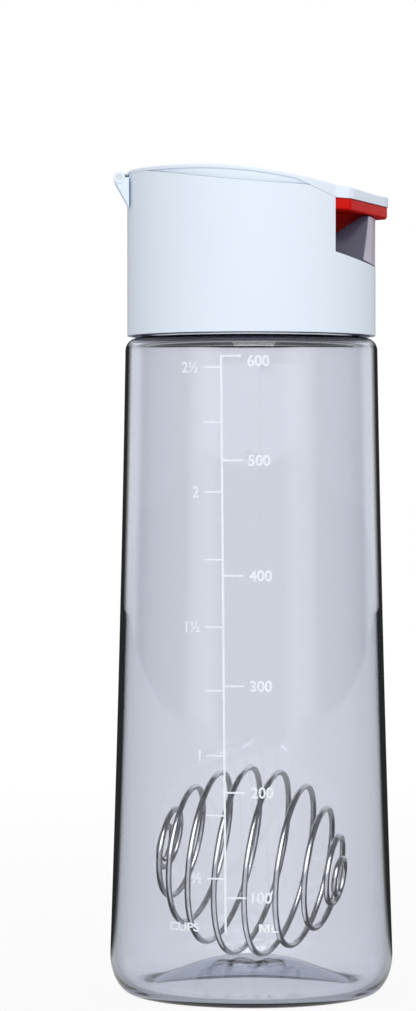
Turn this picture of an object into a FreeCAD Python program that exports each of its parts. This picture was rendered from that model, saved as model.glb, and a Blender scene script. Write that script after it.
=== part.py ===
import FreeCAD, Part
import math
import os

from FreeCAD import Vector

# Salad dressing shaker bottle, in millimetres.
# The origin is the centre of the base, +Z points up and +X points to the spout.

# Bottle body
body_height = 176.6
foot_radius = 31.6
foot_ring_width = 2.4
heel_flare = 4.1
heel_height = 10.8
waist_flare = 2.0
waist_height = 79.6
shoulder_ledge = 0.5
shoulder_round = 3.5
body_wall = 1.6
floor_wall = 2.2
gutter_radius = 27.0
gutter_height = 2.7
punt_bend_radius = 14.0
punt_radius = 7.6
punt_height = 9.5

# Neck and screw thread
neck_bore_radius = 27.5
neck_wall = 1.9
neck_height = 12.4
rim_chamfer = 0.5
thread_lead = 8.0
thread_rise = 4.8
thread_depth = 0.9
thread_foot_width = 2.2
thread_crest_width = 1.2
thread_foot_height = 4.2
thread_root = 0.3
thread_clearance = 0.35
thread_starts = 2

# Lid insert, with its deck and spout
insert_wall = 1.3
insert_gap = 0.15
insert_lift = 0.5
deck_thickness = 1.6
gasket_thickness = 1.6
gasket_gap = 0.35
spout_wall = 1.3
spout_foot_half_width = 15.8
spout_lip_half_width = 11.8
spout_flush = 0.1
spout_rear_x = 18.4
spout_lip_length = 3.9
spout_rim_drop = 7.9
spout_ramp_height = 7.0
spout_hole_front_x = 25.4
spout_hole_half_width = 8.6

# Lid shell
shell_wall = 1.4
lid_gap = 0.5
lid_height = 44.2
stop_rib_height = 1.2
stop_rib_depth = 1.2
stop_rib_gap = 0.1
window_depth_side = 11.2
window_depth_front = 14.4
window_gap = 0.3

# Flip cover with its visor
cover_drop = 6.9
cover_edge = 1.0
cover_seam = 0.2
cover_bend = 1.7
visor_reach = 3.3
visor_half_width = 25.35
visor_corner_reach = 4.3
visor_tip_half_width = 2.5
visor_edge = 1.7
visor_dip = 1.0
visor_ramp_run = 6.0
visor_ramp_rise = 2.6
scoop_depth = 2.6
scoop_rear_share = -0.84
scoop_front_share = 0.57
skirt_wall = 1.0
skirt_gap = 0.5
skirt_drop = 1.2
skirt_rear_x = -27.0
skirt_front_x = 17.0

# Spout seal
seal_thickness = 3.05
seal_seat = 0.05
seal_inset = 0.3
seal_rear_x = 17.5
seal_lip_gap = 0.3
plug_gap = 0.7
plug_depth = 5.6
plug_front_gap = 1.0
plug_taper = 1.2
peg_radius = 1.5
peg_gap = 0.1
peg_length = 2.2
peg_x = 26.0
peg_spread = 5.0

# Hinge
hinge_offset = 1.95
hinge_drop = 2.1
barrel_radius = 1.6
knuckle_half_width = 6.0
ear_width = 3.7
ear_gap = 0.3
gusset_height = 8.0
gusset_reach_share = 0.8
gusset_drop_share = 0.6
arm_foot = 0.2
arm_depth = 2.5
pin_radius = 0.75
pin_seat_gap = 0.02
pin_running_gap = 0.1

# Whisk ball
whisk_clearance = 1.5
whisk_wire_radius = 0.8
whisk_turns = 8
whisk_end_angle = 15.0
whisk_axis = Vector(0.944, -0.292, -0.156)

# Length that a cut runs past what it cuts
overrun = 5.0

# Shape of a rounded corner: where the handles of a quarter curve lie
quarter_share = 0.5523

# Radii from the neck outwards
neck_radius = neck_bore_radius + neck_wall
thread_radius = neck_radius + thread_depth
insert_inner_radius = thread_radius + thread_clearance
insert_radius = insert_inner_radius + insert_wall
shell_inner_radius = insert_radius + insert_gap
lid_radius = shell_inner_radius + shell_wall
visor_radius = lid_radius + visor_reach
shoulder_radius = lid_radius + shoulder_ledge
waist_radius = shoulder_radius + waist_flare
heel_radius = shoulder_radius + heel_flare

# Heights from the base upwards
neck_top = body_height + neck_height
lid_bottom = body_height + lid_gap
insert_bottom = lid_bottom + insert_lift
deck_bottom = neck_top + gasket_thickness
deck_top = deck_bottom + deck_thickness
lid_top = lid_bottom + lid_height
visor_underside = lid_top - cover_drop - visor_edge
seal_bottom = visor_underside - seal_thickness
spout_rim = seal_bottom - seal_lip_gap
spout_radius = lid_radius - spout_flush
window_floor_side = seal_bottom - window_depth_side
window_floor_front = seal_bottom - window_depth_front
thread_start = body_height + thread_foot_height
thread_pitch = thread_lead / thread_starts

# Hinge axis, and where the visor's sides leave the lid
hinge_x = -(lid_radius + hinge_offset)
hinge_z = lid_top - hinge_drop
notch_half_width = knuckle_half_width + ear_gap
visor_side_x = math.sqrt(lid_radius ** 2 - visor_half_width ** 2)
visor_corner_x = visor_side_x + visor_corner_reach

up = Vector(0, 0, 1)
across = Vector(0, 1, 0)


def xz(x, z):
    return Vector(x, 0, z)


def line(start, end):
    return Part.LineSegment(start, end).toShape()


def quarter(start, corner, end):
    """Edge of a rounded corner from start to end, tangent to both sides of the corner."""
    curve = Part.BezierCurve()
    curve.setPoles([start, start + (corner - start) * quarter_share,
                    end + (corner - end) * quarter_share, end])
    return curve.toShape()


def through(*points):
    curve = Part.BSplineCurve()
    curve.interpolate(list(points))
    return curve.toShape()


def turned(edges):
    """Solid turned about the bottle's axis from a closed outline."""
    outline = Part.Face(Part.Wire(edges))
    return outline.revolve(Vector(0, 0, 0), up, 360)


def prism(edges, half_width):
    """Solid of a closed side outline, as wide to both sides of the middle plane."""
    outline = Part.Face(Part.Wire(edges))
    solid = outline.extrude(across * half_width * 2)
    solid.translate(across * -half_width)
    return solid


def plate_prism(points, half_width):
    return prism(Part.makePolygon(points + points[:1]).Edges, half_width)


def disc(radius, low, high):
    return Part.makeCylinder(radius, high - low, xz(0, low))


def ring(outer, inner, low, high):
    return disc(outer, low, high).cut(disc(inner, low - overrun, high + overrun))


def block(low_x, high_x, half_width, low, high):
    corner = Vector(low_x, -half_width, low)
    return Part.makeBox(high_x - low_x, half_width * 2, high - low, corner)


def rod(radius, x, z, low_y, high_y):
    return Part.makeCylinder(radius, high_y - low_y, Vector(x, low_y, z), across)


def thread_ridges(root, crest, start):
    """Two helical ridges, each on its own start, that stand from root to crest."""
    foot = root + math.copysign(thread_root, root - crest)
    section = Part.makePolygon([
        xz(foot, -thread_foot_width / 2), xz(crest, -thread_crest_width / 2),
        xz(crest, thread_crest_width / 2), xz(foot, thread_foot_width / 2),
        xz(foot, -thread_foot_width / 2)])
    helix = Part.makeHelix(thread_lead, thread_rise, root)
    ridge = Part.Wire(helix.Edges).makePipeShell([section], True, True)
    ridge.translate(up * start)
    ridges = []
    for index in range(thread_starts):
        turned_ridge = ridge.copy()
        turned_ridge.rotate(Vector(0, 0, 0), up, index * 360 / thread_starts)
        ridges.append(turned_ridge)
    return ridges


def make_bottle_body():
    heel_inner = heel_radius - body_wall
    wall_top = body_height - shoulder_round
    ceiling = body_height - body_wall
    inner_shoulder = shoulder_radius - body_wall
    punt_underside = punt_height - floor_wall
    gutter_underside = gutter_height - floor_wall

    foot = xz(foot_radius, 0)
    foot_inner = xz(foot_radius - foot_ring_width, 0)
    heel = xz(heel_radius, heel_height)
    wall_end = xz(shoulder_radius, wall_top)
    shoulder = xz(shoulder_radius - shoulder_round, body_height)
    neck_foot = xz(neck_radius, body_height)
    neck_edge = xz(neck_radius, neck_top - rim_chamfer)
    rim_outer = xz(neck_radius - rim_chamfer, neck_top)
    rim_inner = xz(neck_bore_radius, neck_top)
    bore_foot = xz(neck_bore_radius, ceiling)
    under_shoulder = xz(shoulder_radius - shoulder_round, ceiling)
    inner_wall_end = xz(inner_shoulder, wall_top)
    inner_heel = xz(heel_inner, heel_height)
    inner_foot = xz(foot_radius, floor_wall)
    gutter = xz(gutter_radius, gutter_height)
    plateau = xz(punt_radius, punt_height)
    punt_edge = xz(punt_radius, punt_underside)
    under_gutter = xz(gutter_radius, gutter_underside)

    body = turned([
        quarter(foot, xz(heel_radius, 0), heel),
        through(heel, xz(waist_radius, waist_height), wall_end),
        quarter(wall_end, xz(shoulder_radius, body_height), shoulder),
        line(shoulder, neck_foot),
        line(neck_foot, neck_edge),
        line(neck_edge, rim_outer),
        line(rim_outer, rim_inner),
        line(rim_inner, bore_foot),
        line(bore_foot, under_shoulder),
        quarter(under_shoulder, xz(inner_shoulder, ceiling), inner_wall_end),
        through(inner_wall_end, xz(waist_radius - body_wall, waist_height), inner_heel),
        quarter(inner_heel, xz(heel_inner, floor_wall), inner_foot),
        line(inner_foot, gutter),
        quarter(gutter, xz(punt_bend_radius, punt_height), plateau),
        line(plateau, xz(0, punt_height)),
        line(xz(0, punt_height), xz(0, punt_underside)),
        line(xz(0, punt_underside), punt_edge),
        quarter(punt_edge, xz(punt_bend_radius, punt_underside), under_gutter),
        line(under_gutter, foot_inner),
        line(foot_inner, foot)])
    return body.fuse(thread_ridges(neck_radius, thread_radius, thread_start))


def visor_sink(x):
    """How far the visor's underside has sunk at x, on its way from its sides to its tip."""
    return visor_dip * (x - visor_side_x) / (visor_radius - visor_side_x)


def spout_taper(inset, low, high):
    """Column of the spout's front view: its sides lean in from the window's floor to the rim."""
    lean = (spout_foot_half_width - spout_lip_half_width) / (spout_rim - window_floor_front)
    low_half_width = spout_lip_half_width - inset + lean * (spout_rim - low)
    high_half_width = spout_lip_half_width - inset + lean * (spout_rim - high)
    points = [Vector(0, -low_half_width, low), Vector(0, low_half_width, low),
              Vector(0, high_half_width, high), Vector(0, -high_half_width, high)]
    return Part.Face(Part.makePolygon(points + points[:1])).extrude(Vector(visor_radius))


def window_space(inset):
    """Space of the window in the lid's front, whose floor sinks towards the spout, less an inset."""
    floor_side = window_floor_side + inset
    floor_front = window_floor_front + inset
    return plate_prism([
        xz(seal_rear_x, floor_side), xz(visor_side_x, floor_side), xz(lid_radius, floor_front),
        xz(visor_radius, floor_front), xz(visor_radius, lid_top), xz(seal_rear_x, lid_top)],
        visor_half_width - inset)


def make_lid_insert():
    skirt = ring(insert_radius, insert_inner_radius, insert_bottom, deck_top)
    deck = disc(insert_radius, deck_bottom, deck_top)
    outlet = disc(spout_radius, deck_bottom, spout_rim).common(window_space(window_gap))
    room = disc(insert_radius, deck_bottom, spout_rim).fuse(outlet)
    lip_x = spout_radius - spout_lip_length
    spout = plate_prism([
        xz(spout_rear_x, deck_bottom), xz(spout_radius, deck_bottom),
        xz(spout_radius, spout_rim - visor_sink(spout_radius)),
        xz(lip_x, spout_rim - visor_sink(lip_x)),
        xz(spout_rear_x, spout_rim - spout_rim_drop)], lid_radius)
    spout = spout.common(room).common(spout_taper(0, deck_bottom, spout_rim))

    channel_rear = spout_rear_x + spout_wall
    channel_front = spout_radius - spout_wall
    channel = plate_prism([
        xz(channel_rear, deck_top), xz(spout_hole_front_x, deck_top),
        xz(channel_front, deck_top + spout_ramp_height), xz(channel_front, spout_rim + overrun),
        xz(channel_rear, spout_rim + overrun)], lid_radius)
    # Below the window the channel stays inside the insert's own wall
    ledge = window_floor_side + window_gap + spout_wall
    bore = disc(insert_radius - spout_wall, deck_top, spout_rim + overrun)
    bore = bore.fuse(disc(channel_front, ledge, spout_rim + overrun))
    channel = channel.common(bore)
    channel = channel.common(spout_taper(spout_wall, deck_top, spout_rim + overrun))
    hole = block(channel_rear, spout_hole_front_x, spout_hole_half_width,
                 deck_bottom - overrun, deck_top + spout_ramp_height)
    insert = skirt.fuse([deck, spout]).cut([channel, hole])
    ridges = thread_ridges(insert_inner_radius, insert_inner_radius - thread_depth,
                           thread_start - thread_pitch / 2)
    return insert.fuse(ridges)


def make_lid_gasket():
    return ring(insert_inner_radius - gasket_gap, neck_bore_radius, neck_top, deck_bottom)


def cover_top(x):
    """Height of the lid's top along its length: level at the rear hinge, sinking to the visor."""
    way = max(0, (x + lid_radius) / (lid_radius + visor_radius))
    return lid_top - cover_drop * (1 - math.cos(math.pi * way ** cover_bend)) / 2


def under_cover(drop):
    """Everything below the curve of the lid's top, lowered by drop."""
    reach = visor_radius + overrun
    steps = 24
    places = [-reach + 2 * reach * step / steps for step in range(steps + 1)]
    curve = Part.BSplineCurve()
    curve.interpolate([xz(x, cover_top(x) - drop) for x in places])
    edge = curve.toShape()
    start = curve.StartPoint
    end = curve.EndPoint
    return prism([edge, line(end, xz(reach, 0)), line(xz(reach, 0), xz(-reach, 0)),
                  line(xz(-reach, 0), start)], reach)


def visor_space(drop):
    """Everything above the visor's sinking underside and the ramp behind it, lowered by drop."""
    reach = visor_radius + overrun
    low = visor_underside - drop
    high = lid_top + overrun
    ramp_length_share = (high - low) / visor_ramp_rise
    return plate_prism([
        xz(visor_side_x, low), xz(reach, low - visor_sink(reach)), xz(reach, high),
        xz(visor_side_x - visor_ramp_run * ramp_length_share, high)], reach)


def visor_plan(rear_x, inset, low, high):
    """Column of the visor's outline: flat sides, then two straight edges to a blunt tip."""
    side = visor_half_width - inset
    corner_x = visor_corner_x - inset
    tip_x = visor_radius - inset
    points = [Vector(rear_x, -side, low), Vector(corner_x, -side, low),
              Vector(tip_x, -visor_tip_half_width, low), Vector(tip_x, visor_tip_half_width, low),
              Vector(corner_x, side, low), Vector(rear_x, side, low)]
    return Part.Face(Part.makePolygon(points + points[:1])).extrude(up * (high - low))


def make_lid_shell():
    tube = ring(lid_radius, shell_inner_radius, lid_bottom, lid_top)
    rib = ring(shell_inner_radius + shell_wall / 2, shell_inner_radius - stop_rib_depth,
               deck_top + stop_rib_gap, deck_top + stop_rib_gap + stop_rib_height)
    rib = rib.cut(block(spout_rear_x - shell_wall, lid_radius, lid_radius, deck_bottom, lid_top))
    shell = tube.fuse(rib)

    shell = shell.common(under_cover(cover_edge + cover_seam))
    shell = shell.cut(visor_space(cover_seam))
    rear_x = lid_radius * scoop_rear_share
    front_x = lid_radius * scoop_front_share
    middle_x = (rear_x + front_x) / 2
    rear = xz(rear_x, cover_top(rear_x) - cover_edge)
    middle = xz(middle_x, cover_top(middle_x) - cover_edge - scoop_depth)
    front = xz(front_x, cover_top(front_x) - cover_edge)
    scoop = prism([Part.Arc(rear, middle, front).toShape(), line(front, front + up * overrun),
                   line(front + up * overrun, rear + up * overrun),
                   line(rear + up * overrun, rear)], lid_radius + overrun)
    shell = shell.cut(scoop)

    shell = shell.cut(window_space(0))

    notch = block(hinge_x, 0, notch_half_width, hinge_z + arm_foot - ear_gap, lid_top)
    shell = shell.cut(notch)
    wall_middle = shell_wall / 2 - lid_radius
    for side in (-1, 1):
        inner_y = side * notch_half_width
        outer_y = side * (notch_half_width + ear_width)
        low_y = min(inner_y, outer_y)
        high_y = max(inner_y, outer_y)
        barrel = rod(barrel_radius, hinge_x, hinge_z, low_y, high_y)
        gusset = plate_prism([
            xz(wall_middle, hinge_z), xz(hinge_x, hinge_z),
            xz(hinge_x - barrel_radius * gusset_reach_share,
               hinge_z - barrel_radius * gusset_drop_share),
            xz(wall_middle, hinge_z - gusset_height)], ear_width / 2)
        gusset.translate(across * (low_y + high_y) / 2)
        shell = shell.fuse([barrel, gusset])
    reach = notch_half_width + ear_width + overrun
    return shell.cut(rod(pin_radius + pin_seat_gap, hinge_x, hinge_z, -reach, reach))


def make_flip_cover():
    base = visor_underside - visor_dip - overrun
    top = lid_top + overrun
    below_top = under_cover(0)
    plate = below_top.cut(under_cover(cover_edge))
    visor = below_top.common(visor_space(0))
    outline = disc(lid_radius, base, top).fuse(visor_plan(0, 0, base, top))
    cover = plate.fuse(visor).common(outline)

    skirt_outer = shell_inner_radius - skirt_gap
    skirt = ring(skirt_outer, skirt_outer - skirt_wall, visor_underside - skirt_drop, top)
    skirt = skirt.common(block(skirt_rear_x, skirt_front_x, lid_radius, base, top))
    skirt = skirt.common(under_cover(cover_edge / 2))
    knuckle = rod(barrel_radius, hinge_x, hinge_z, -knuckle_half_width, knuckle_half_width)
    arm = block(hinge_x, arm_depth - lid_radius, knuckle_half_width,
                hinge_z + arm_foot, hinge_z + barrel_radius)
    pegs = []
    for side in (-1, 1):
        peg_place = Vector(peg_x, side * peg_spread, visor_underside - peg_length)
        pegs.append(Part.makeCylinder(peg_radius, peg_length + visor_edge / 2, peg_place))
    cover = cover.fuse([skirt, knuckle, arm] + pegs)
    bore = rod(pin_radius + pin_running_gap, hinge_x, hinge_z, -notch_half_width, notch_half_width)
    return cover.cut(bore)


def make_spout_seal():
    seal_top = visor_underside - seal_seat
    seal_middle = (seal_bottom + seal_top) / 2
    band = visor_plan(seal_rear_x, seal_inset, seal_bottom - visor_dip, seal_top)
    band = band.common(plate_prism([
        xz(seal_rear_x, seal_bottom), xz(visor_side_x, seal_bottom),
        xz(visor_radius, seal_bottom - visor_dip), xz(visor_radius, seal_top - visor_dip),
        xz(visor_side_x, seal_top), xz(seal_rear_x, seal_top)], visor_half_width))
    plug_rear = spout_rear_x + spout_wall + plug_gap
    plug_front_radius = spout_radius - spout_wall - plug_front_gap
    plug_half_width = spout_lip_half_width - spout_wall - plug_gap
    plug_front = math.sqrt(plug_front_radius ** 2 - plug_half_width ** 2)
    plug_low = seal_bottom - plug_depth
    plug = plate_prism([
        xz(plug_rear, seal_middle), xz(plug_front, seal_middle), xz(plug_front, spout_rim),
        xz(plug_front - plug_taper, plug_low), xz(plug_rear, plug_low)], plug_half_width)
    seal = band.fuse(plug)
    for side in (-1, 1):
        hole_place = Vector(peg_x, side * peg_spread, visor_underside - peg_length - peg_gap)
        seal = seal.cut(Part.makeCylinder(peg_radius + peg_gap, seal_thickness, hole_place))
    return seal


def make_hinge_pin():
    half_length = notch_half_width + ear_width
    return rod(pin_radius, hinge_x, hinge_z, -half_length, half_length)


def biarc(start, start_way, end, end_way):
    """Two arcs that join in a smooth line from start to end with the given directions."""
    chord = end - start
    ways = start_way + end_way
    bend = 2 * (1 - start_way.dot(end_way))
    lean = 2 * chord.dot(ways)
    handle = (math.sqrt(lean ** 2 + 4 * bend * chord.dot(chord)) - lean) / (2 * bend)
    start_corner = start + start_way * handle
    end_corner = end - end_way * handle
    joint = (start_corner + end_corner) / 2
    arcs = []
    for first, corner, last in ((start, start_corner, joint), (joint, end_corner, end)):
        middle = (first + last) / 2
        half_chord = (last - first).Length / 2
        rise = corner - middle
        sagitta = half_chord * math.tan(math.atan2(rise.Length, half_chord) / 2)
        arcs.append(Part.Arc(first, middle + rise / rise.Length * sagitta, last))
    return arcs


def whisk_point(share, radius):
    """Point of the wire at a share of its way, on a ball about the origin: a left-handed winding."""
    polar = math.radians(whisk_end_angle + share * (180 - 2 * whisk_end_angle))
    turn = -2 * math.pi * whisk_turns * share
    return Vector(math.sin(polar) * math.cos(turn), math.sin(polar) * math.sin(turn),
                  math.cos(polar)) * radius


def make_whisk_ball():
    ball_radius = neck_bore_radius - whisk_clearance
    wire_path_radius = ball_radius - whisk_wire_radius
    quarters = whisk_turns * 4
    small_share = 1e-5
    points = []
    ways = []
    for index in range(quarters + 1):
        share = index / quarters
        points.append(whisk_point(share, wire_path_radius))
        way = whisk_point(share + small_share, wire_path_radius)
        way = way - whisk_point(share - small_share, wire_path_radius)
        ways.append(way.normalize())
    edges = []
    for index in range(quarters):
        arcs = biarc(points[index], ways[index], points[index + 1], ways[index + 1])
        edges.extend(arc.toShape() for arc in arcs)
    path = Part.Wire(edges)
    section = Part.Wire(Part.Circle(points[0], ways[0], whisk_wire_radius).toShape())
    wire = path.makePipeShell([section], True, False)
    print_least_gap(path)

    turn_to_axis = FreeCAD.Rotation(up, whisk_axis)
    centre_height = punt_height + ball_radius
    wire.Placement = FreeCAD.Placement(xz(0, centre_height), turn_to_axis)
    return wire


def print_least_gap(path):
    """Least gap of the wire to its own next turns, measured on points along its path."""
    count = whisk_turns * 60
    points = path.discretize(count)
    step = path.Length / count
    apart = int(math.pi * whisk_wire_radius * 4 / step)
    least = min((points[first] - points[second]).Length
                for first in range(count) for second in range(first + apart, count))
    print("whisk wire: length", round(path.Length), "least gap", round(least - 2 * whisk_wire_radius, 2))


pieces = {
    "bottle_body": make_bottle_body,
    "lid_insert": make_lid_insert,
    "lid_gasket": make_lid_gasket,
    "lid_shell": make_lid_shell,
    "flip_cover": make_flip_cover,
    "spout_seal": make_spout_seal,
    "hinge_pin": make_hinge_pin,
    "whisk_ball": make_whisk_ball,
}

os.makedirs("parts", exist_ok=True)
for name, make in pieces.items():
    shape = make().removeSplitter()
    shape.exportStep("parts/" + name + ".step")
    print(name, len(shape.Solids), shape.isValid(), round(shape.Volume, 1), shape.BoundBox)
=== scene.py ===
import math

import bmesh
import bpy
from mathutils import Matrix, Vector
from mathutils.geometry import interpolate_bezier


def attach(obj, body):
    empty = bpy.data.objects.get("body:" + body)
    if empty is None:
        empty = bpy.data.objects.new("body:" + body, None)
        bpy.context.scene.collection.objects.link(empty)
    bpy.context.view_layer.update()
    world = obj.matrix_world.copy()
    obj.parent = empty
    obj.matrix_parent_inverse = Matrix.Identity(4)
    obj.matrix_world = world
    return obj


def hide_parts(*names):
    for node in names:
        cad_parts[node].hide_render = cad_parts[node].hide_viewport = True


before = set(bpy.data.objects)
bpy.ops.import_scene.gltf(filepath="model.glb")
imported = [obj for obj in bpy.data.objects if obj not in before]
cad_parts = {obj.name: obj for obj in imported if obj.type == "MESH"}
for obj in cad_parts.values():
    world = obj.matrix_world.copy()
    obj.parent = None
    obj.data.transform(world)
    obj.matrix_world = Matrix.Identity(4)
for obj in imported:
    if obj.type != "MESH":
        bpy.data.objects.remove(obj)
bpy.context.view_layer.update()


# Bottle body: one clear bottle of faintly lavender plastic, blown with an even wall and a
# thicker floor. It tapers from its heel to its shoulder and stands on a narrow ring round
# its pushed-up floor. The neck carries a two-start screw thread for the lid.
heel_radius = 0.0381
heel_height = 0.0108
waist_radius = 0.0360
waist_height = 0.0796
shoulder_radius = 0.0340
shoulder_round = 0.0035
body_height = 0.1766
body_wall = 0.0016
foot_radius = 0.0316
foot_ring_width = 0.0024
floor_wall = 0.0022
gutter_radius = 0.0270
gutter_height = 0.0027
gutter_edge = 0.0004
punt_bend_radius = 0.0140
punt_radius = 0.0076
punt_height = 0.0095
neck_radius = 0.0294
neck_bore_radius = 0.0275
neck_top = 0.1890
neck_edge_round = 0.0004
thread_radius = 0.0303
thread_lead = 0.008
thread_rise = 0.0048
thread_start = 0.1808
thread_foot_width = 0.0022
thread_crest_width = 0.0012
thread_root = 0.0003
thread_starts = 2
round_steps = 160
curve_steps = 16
bottle_tint = (0.305, 0.365, 0.56)
bottle_tint_density = 175


def level(radius, height):
    """A point of an outline that is turned about the bottle's axis."""
    return Vector((radius, 0, height))


def quarter(start, corner, end, steps=10):
    """Points of a rounded corner, after its first."""
    handle_share = 0.5523
    handles = [start.lerp(corner, handle_share), end.lerp(corner, handle_share)]
    return interpolate_bezier(start, handles[0], handles[1], end, steps + 1)[1:]


def body_radius(height):
    """Outer radius of the bottle's side, on a curve through its heel, waist and shoulder."""
    places = [(heel_height, heel_radius), (waist_height, waist_radius),
              (body_height - shoulder_round, shoulder_radius)]
    radius = 0
    for place, place_radius in places:
        weight = 1
        for other, _ in places:
            if other != place:
                weight *= (height - other) / (place - other)
        radius += weight * place_radius
    return radius


def side(low, high, wall, steps=28):
    """Points up or down the bottle's side, a wall thickness in from its outer face."""
    heights = [low + (high - low) * step / steps for step in range(steps + 1)]
    return [level(body_radius(height) - wall, height) for height in heights]


def turned(outline, closed=False):
    """A bmesh turned about the bottle's axis from an outline."""
    bm = bmesh.new()
    verts = [bm.verts.new(point) for point in outline]
    ends = verts[1:] + verts[:1] if closed else verts[1:]
    edges = [bm.edges.new(pair) for pair in zip(verts, ends)]
    bmesh.ops.spin(bm, geom=verts + edges, cent=(0, 0, 0), axis=(0, 0, 1),
                   angle=2 * math.pi, steps=round_steps, use_merge=True)
    bmesh.ops.remove_doubles(bm, verts=bm.verts, dist=1e-7)
    bmesh.ops.recalc_face_normals(bm, faces=bm.faces)
    return bm


def soften(bm, width, segments=2, sharpness=math.radians(30), spare=frozenset()):
    """Rounds the sharp edges, as a mould's edges are, but for those at spared vertices."""
    sharp = [edge for edge in bm.edges if edge.is_manifold and edge.calc_face_angle() > sharpness
             and not spare.intersection(edge.verts)]
    bmesh.ops.bevel(bm, geom=sharp, offset=width, segments=segments, profile=0.5,
                    affect="EDGES", material=-1)


def add_ridges(bm, root_radius, crest_radius, start):
    """Adds the helical ridges of the screw thread, each on its own start."""
    steps = 60
    turn = 2 * math.pi * thread_rise / thread_lead
    for index in range(thread_starts):
        section = [level(root_radius, start - thread_foot_width / 2),
                   level(crest_radius, start - thread_crest_width / 2),
                   level(crest_radius, start + thread_crest_width / 2),
                   level(root_radius, start + thread_foot_width / 2)]
        face = bm.faces.new([bm.verts.new(point) for point in section])
        place = Matrix.Rotation(2 * math.pi * index / thread_starts, 3, "Z")
        bmesh.ops.rotate(bm, verts=face.verts, cent=(0, 0, 0), matrix=place)
        bmesh.ops.spin(bm, geom=[face], cent=(0, 0, 0), axis=(0, 0, 1), angle=turn,
                       dvec=(0, 0, thread_rise / steps), steps=steps)


def new_finish(name):
    """Starts a node material, and returns it with its tree and its main shader."""
    finish = bpy.data.materials.new(name)
    finish.use_nodes = True
    tree = finish.node_tree
    return finish, tree, tree.nodes["Principled BSDF"]


def mottle(tree, scale, detail=3.0, stretch=(1, 1, 1)):
    """A noise on the piece's own coordinates, from 0 to 1."""
    place = tree.nodes.new("ShaderNodeTexCoord")
    mapping = tree.nodes.new("ShaderNodeMapping")
    mapping.inputs["Scale"].default_value = stretch
    noise = tree.nodes.new("ShaderNodeTexNoise")
    noise.inputs["Scale"].default_value = scale
    noise.inputs["Detail"].default_value = detail
    tree.links.new(place.outputs["Object"], mapping.inputs["Vector"])
    tree.links.new(mapping.outputs["Vector"], noise.inputs["Vector"])
    return noise.outputs["Fac"]


def spread(tree, factor, low, high, start=0.3, end=0.7):
    """Turns a factor into a number from low to high."""
    reach = tree.nodes.new("ShaderNodeMapRange")
    reach.inputs["From Min"].default_value = start
    reach.inputs["From Max"].default_value = end
    reach.inputs["To Min"].default_value = low
    reach.inputs["To Max"].default_value = high
    tree.links.new(factor, reach.inputs["Value"])
    return reach.outputs["Result"]


def tones(tree, factor, dark, light, start=0.3, end=0.7):
    """Turns a factor into a colour between two tones."""
    ramp = tree.nodes.new("ShaderNodeValToRGB")
    ramp.color_ramp.elements[0].position = start
    ramp.color_ramp.elements[0].color = (*dark, 1)
    ramp.color_ramp.elements[1].position = end
    ramp.color_ramp.elements[1].color = (*light, 1)
    tree.links.new(factor, ramp.inputs["Fac"])
    return ramp.outputs["Color"]


def roughen(tree, shader, height, strength, depth):
    """Gives a surface the fine relief of a noise, with a depth in metres."""
    bump = tree.nodes.new("ShaderNodeBump")
    bump.inputs["Strength"].default_value = strength
    bump.inputs["Distance"].default_value = depth
    tree.links.new(height, bump.inputs["Height"])
    tree.links.new(bump.outputs["Normal"], shader.inputs["Normal"])


def add_piece(name, bm, finish, body, slot, *nodes):
    """Makes a bmesh a smooth piece that rides on a body and stands for CAD nodes."""
    for face in bm.faces:
        face.smooth = True
    mesh = bpy.data.meshes.new(name)
    bm.to_mesh(mesh)
    bm.free()
    mesh.materials.append(finish)
    piece = bpy.data.objects.new(name, mesh)
    bpy.context.collection.objects.link(piece)
    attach(piece, body)
    if nodes:
        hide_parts(*nodes)
    return piece


def clear_plastic():
    """Polished clear plastic: a lavender grey in depth, with the faint waves of blowing."""
    finish, tree, shader = new_finish("clear_lavender_plastic")
    shader.inputs["Base Color"].default_value = (1, 1, 1, 1)
    shader.inputs["Transmission Weight"].default_value = 1
    shader.inputs["IOR"].default_value = 1.5
    scuffs = mottle(tree, 900, detail=4)
    tree.links.new(spread(tree, scuffs, 0.0, 0.035), shader.inputs["Roughness"])
    waves = mottle(tree, 40, detail=2, stretch=(1, 1, 0.25))
    roughen(tree, shader, waves, 0.06, 0.0005)
    depth = tree.nodes.new("ShaderNodeVolumeAbsorption")
    depth.inputs["Color"].default_value = (*bottle_tint, 1)
    depth.inputs["Density"].default_value = bottle_tint_density
    output = tree.nodes["Material Output"]
    tree.links.new(depth.outputs["Volume"], output.inputs["Volume"])
    return finish


wall_top = body_height - shoulder_round
ceiling = body_height - body_wall
inner_shoulder = shoulder_radius - body_wall
inner_heel = heel_radius - body_wall
foot = level(foot_radius, 0)
inner_foot = level(foot_radius, floor_wall)
gutter = level(gutter_radius, gutter_height)
plateau = level(punt_radius, punt_height)
punt_bend = level(punt_bend_radius, punt_height)
wall_drop = level(0, -floor_wall)
shoulder = level(shoulder_radius - shoulder_round, body_height)
under_shoulder = level(shoulder_radius - shoulder_round, ceiling)

bottle_outline = [level(0, punt_height - floor_wall), plateau + wall_drop]
bottle_outline += quarter(plateau + wall_drop, punt_bend + wall_drop, gutter + wall_drop, curve_steps)
bottle_outline += [level(foot_radius - foot_ring_width, 0), foot]
bottle_outline += quarter(foot, level(heel_radius, 0), level(heel_radius, heel_height), curve_steps)
bottle_outline += side(heel_height, wall_top, 0)[1:]
bottle_outline += quarter(bottle_outline[-1], level(shoulder_radius, body_height), shoulder)
bottle_outline += [level(neck_radius, body_height), level(neck_radius, neck_top)]
bottle_outline += [level(neck_bore_radius, neck_top), level(neck_bore_radius, ceiling), under_shoulder]
bottle_outline += quarter(under_shoulder, level(inner_shoulder, ceiling),
                          level(inner_shoulder, wall_top))
bottle_outline += side(wall_top, heel_height, body_wall)[1:]
bottle_outline += quarter(bottle_outline[-1], level(inner_heel, floor_wall), inner_foot, curve_steps)
bottle_outline += [gutter + (inner_foot - gutter).normalized() * gutter_edge, gutter]
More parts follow.
